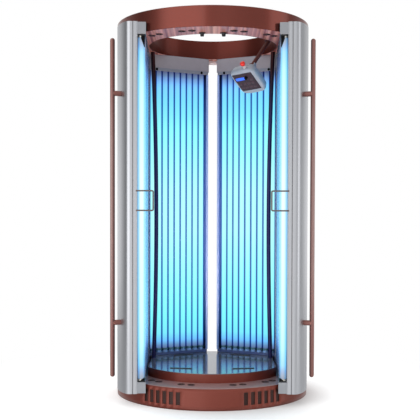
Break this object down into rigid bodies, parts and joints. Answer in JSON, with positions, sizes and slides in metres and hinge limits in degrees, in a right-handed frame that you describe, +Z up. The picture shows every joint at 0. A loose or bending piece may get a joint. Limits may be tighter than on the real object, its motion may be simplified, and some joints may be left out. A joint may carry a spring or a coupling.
{
  "type": "vertical tanning booth",
  "caption": "Stand-up tanning booth: round base drum and overhead ring with upright lamps on rear panels and hinged side doors, long outer handles and a hanging control console.",
  "frame": {"origin": "centre of the round base on the floor", "axes": "+Z up the booth's axis, -Y to the open front, +X to the right as seen from the front"},
  "size_m": [1.2, 1.2, 2.3],
  "materials": {
    "brown_paint": "gloss pearl brown paint on sheet steel",
    "dark_brown_paint": "dark brown gloss paint",
    "bare_steel": "satin steel",
    "mirror_steel": "mirror polished sheet",
    "silver_aluminium": "silver anodised extrusion and sheet",
    "grey_paint": "grey satin paint",
    "light_grey_paint": "light grey satin paint",
    "lamp_glass": "lit tube, white phosphor behind glass",
    "clear_acrylic": "clear polished acrylic sheet",
    "console_plastic": "silver grey moulded plastic",
    "keypad_film": "dark membrane film",
    "display_glass": "lit blue display",
    "black_plastic": "black moulded plastic",
    "red_plastic": "red moulded plastic",
    "white_plastic": "white moulded plastic"
  },
  "bodies": {
    "booth": {"base_floor": "bare_steel", "base_band": "brown_paint", "vent_mesh": "dark_brown_paint", "base_ledge": "brown_paint", "platform_riser": "brown_paint", "platform_plate": "mirror_steel", "control_box": "light_grey_paint", "ring_band": "brown_paint", "ring_inner_band": "brown_paint", "ring_soffit": "brown_paint", "ring_lid": "brown_paint", "console_bracket": "brown_paint", "fan_frame_left": "black_plastic", "fan_frame_right": "black_plastic", "rear_lamp_bank_left": "lamp_glass", "rear_lamp_bank_right": "lamp_glass", "rear_reflector_left": "mirror_steel", "rear_reflector_right": "mirror_steel", "rear_casing_left": "light_grey_paint", "rear_casing_right": "light_grey_paint", "rear_cover_left": "grey_paint", "rear_cover_right": "grey_paint", "ballast_tray_left": "bare_steel", "ballast_tray_right": "bare_steel", "foot_hinge_pin_left": "bare_steel", "foot_hinge_pin_right": "bare_steel", "head_hinge_pin_left": "bare_steel", "head_hinge_pin_right": "bare_steel", "pole_left": "dark_brown_paint", "pole_right": "dark_brown_paint"},
    "left_door": {"door_post_left": "silver_aluminium", "door_shell_left": "silver_aluminium", "door_reflector_left": "mirror_steel", "door_lamp_bank_left": "lamp_glass", "door_shield_left": "clear_acrylic", "door_foot_block_left": "light_grey_paint", "door_head_block_left": "light_grey_paint", "outer_handle_left": "brown_paint", "inner_handle_left": "bare_steel"},
    "right_door": {"door_post_right": "silver_aluminium", "door_shell_right": "silver_aluminium", "door_reflector_right": "mirror_steel", "door_lamp_bank_right": "lamp_glass", "door_shield_right": "clear_acrylic", "door_foot_block_right": "light_grey_paint", "door_head_block_right": "light_grey_paint", "outer_handle_right": "brown_paint", "inner_handle_right": "bare_steel"},
    "arm": {"console_arm": "brown_paint"},
    "console": {"console_front": "console_plastic", "console_back": "console_plastic", "keypad_panel": "keypad_film", "display_window": "display_glass", "stop_collar": "white_plastic"},
    "knob": {"console_knob": "black_plastic"},
    "stop": {"stop_button": "red_plastic"},
    "left_fan": {"fan_rotor_left": "black_plastic"},
    "right_fan": {"fan_rotor_right": "black_plastic"},
    "left_nozzle": {"nozzle_left": "black_plastic"},
    "right_nozzle": {"nozzle_right": "black_plastic"}
  },
  "joints": [
    {"name": "left_door_swing", "type": "hinge", "parent": "booth", "child": "left_door", "pos_m": [-0.55, 0.14, 0.133], "axis": [0, 0, -1], "range_deg": [0, 80]},
    {"name": "right_door_swing", "type": "hinge", "parent": "booth", "child": "right_door", "pos_m": [0.55, 0.14, 0.133], "axis": [0, 0, 1], "range_deg": [0, 80]},
    {"name": "console_arm_swing", "type": "hinge", "parent": "booth", "child": "arm", "pos_m": [0.33708, -0.16623, 2.188], "axis": [0, 0, 1], "range_deg": [-25, 40]},
    {"name": "console_tilt", "type": "hinge", "parent": "arm", "child": "console", "pos_m": [0.23973, -0.24002, 2.02728], "axis": [0.7987, -0.5985, 0.0623], "range_deg": [-20, 20]},
    {"name": "knob_turn", "type": "hinge", "parent": "console", "child": "knob", "pos_m": [0.20197, -0.25142, 1.95244], "axis": [-0.3099, -0.4978, -0.81], "range_deg": [-150, 150]},
    {"name": "stop_press", "type": "slide", "parent": "console", "child": "stop", "axis": [0.5159, 0.6277, -0.5831], "range_m": [0, 0.006], "stiffness_N_per_m": 900, "springref_m": -0.004},
    {"name": "left_fan_spin", "type": "hinge", "parent": "booth", "child": "left_fan", "pos_m": [-0.26837, -0.47434, 0.0638], "axis": [0.4924, 0.8704, 0], "continuous": true},
    {"name": "right_fan_spin", "type": "hinge", "parent": "booth", "child": "right_fan", "pos_m": [0.26837, -0.47434, 0.0638], "axis": [-0.4924, 0.8704, 0], "continuous": true},
    {"name": "left_nozzle_tilt", "type": "hinge", "parent": "booth", "child": "left_nozzle", "pos_m": [-0.063, -0.43, 2.1815], "axis": [1, 0, 0], "range_deg": [-20, 20]},
    {"name": "right_nozzle_tilt", "type": "hinge", "parent": "booth", "child": "right_nozzle", "pos_m": [0.063, -0.43, 2.1815], "axis": [1, 0, 0], "range_deg": [-20, 20]}
  ]
}
